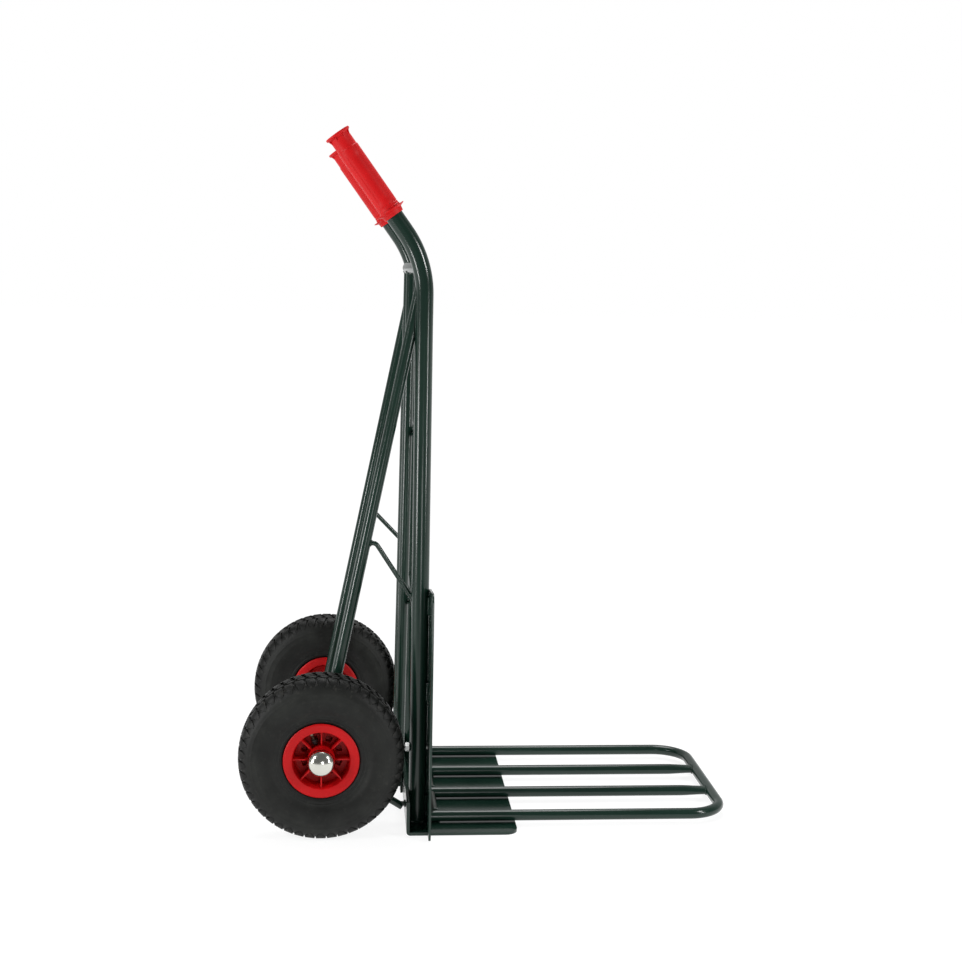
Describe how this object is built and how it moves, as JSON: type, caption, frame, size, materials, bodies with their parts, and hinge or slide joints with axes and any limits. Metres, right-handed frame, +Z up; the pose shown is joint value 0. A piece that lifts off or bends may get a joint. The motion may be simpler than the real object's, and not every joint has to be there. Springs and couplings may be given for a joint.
{
  "type": "hand truck",
  "caption": "Tubular steel hand truck with two pneumatic wheels, curved red handles, wheel guards, a toe plate and a fold-down tubular platform.",
  "frame": {"origin": "centre of the bounding box at floor level", "axes": "+Z up, X across the truck (right hand of the operator at -X), the platform and toe plate point to -Y"},
  "size_m": [0.536, 0.7966, 1.1027],
  "materials": {
    "green_enamel": "glossy dark green enamel",
    "red_plastic": "moulded red plastic, semi-gloss",
    "tyre": "black rubber with a block tread",
    "rubber": "matt butyl rubber",
    "black_plastic": "matt black plastic",
    "brass": "dull brass",
    "chrome": "bright chrome",
    "zinc": "bright zinc plate",
    "steel": "plain steel"
  },
  "bodies": {
    "frame": {"toe_plate": "green_enamel", "top_crossbar": "green_enamel", "middle_crossbar": "green_enamel", "lower_crossbar": "green_enamel", "axle": "steel", "main_tube_right": "green_enamel", "inner_upright_right": "green_enamel", "rear_brace_right": "green_enamel", "brace_strut_right": "green_enamel", "lower_stay_right": "green_enamel", "stay_stud_right": "green_enamel", "axle_sleeve_right": "green_enamel", "wheel_guard_right": "green_enamel", "guard_bolt_right": "zinc", "guard_nut_right": "zinc", "grip_right": "red_plastic", "hinge_lug_outer_right": "green_enamel", "hinge_lug_inner_right": "green_enamel", "inner_washer_right": "zinc", "outer_washer_right": "zinc", "dome_cap_right": "chrome", "main_tube_left": "green_enamel", "inner_upright_left": "green_enamel", "rear_brace_left": "green_enamel", "brace_strut_left": "green_enamel", "lower_stay_left": "green_enamel", "stay_stud_left": "green_enamel", "axle_sleeve_left": "green_enamel", "wheel_guard_left": "green_enamel", "guard_bolt_left": "zinc", "guard_nut_left": "zinc", "grip_left": "red_plastic", "hinge_lug_outer_left": "green_enamel", "hinge_lug_inner_left": "green_enamel", "inner_washer_left": "zinc", "outer_washer_left": "zinc", "dome_cap_left": "chrome"},
    "right_wheel": {"tyre_right": "tyre", "inner_tube_right": "rubber", "rim_right": "red_plastic", "valve_stem_right": "brass", "valve_cap_right": "black_plastic", "outer_bearing_right": "black_plastic", "inner_bearing_right": "black_plastic"},
    "left_wheel": {"tyre_left": "tyre", "inner_tube_left": "rubber", "rim_left": "red_plastic", "valve_stem_left": "brass", "valve_cap_left": "black_plastic", "outer_bearing_left": "black_plastic", "inner_bearing_left": "black_plastic"},
    "platform": {"hinge_rod": "zinc", "platform_frame": "green_enamel", "platform_tube_right": "green_enamel", "platform_tube_left": "green_enamel"}
  },
  "joints": [
    {"name": "right_wheel_spin", "type": "hinge", "parent": "frame", "child": "right_wheel", "pos_m": [-0.21, 0.26825, 0.13], "axis": [1, 0, 0], "continuous": true},
    {"name": "left_wheel_spin", "type": "hinge", "parent": "frame", "child": "left_wheel", "pos_m": [0.21, 0.26825, 0.13], "axis": [1, 0, 0], "continuous": true},
    {"name": "platform_fold", "type": "hinge", "parent": "frame", "child": "platform", "pos_m": [0, 0.08625, 0.0155], "axis": [-1, 0, 0], "range_deg": [0, 90]}
  ]
}
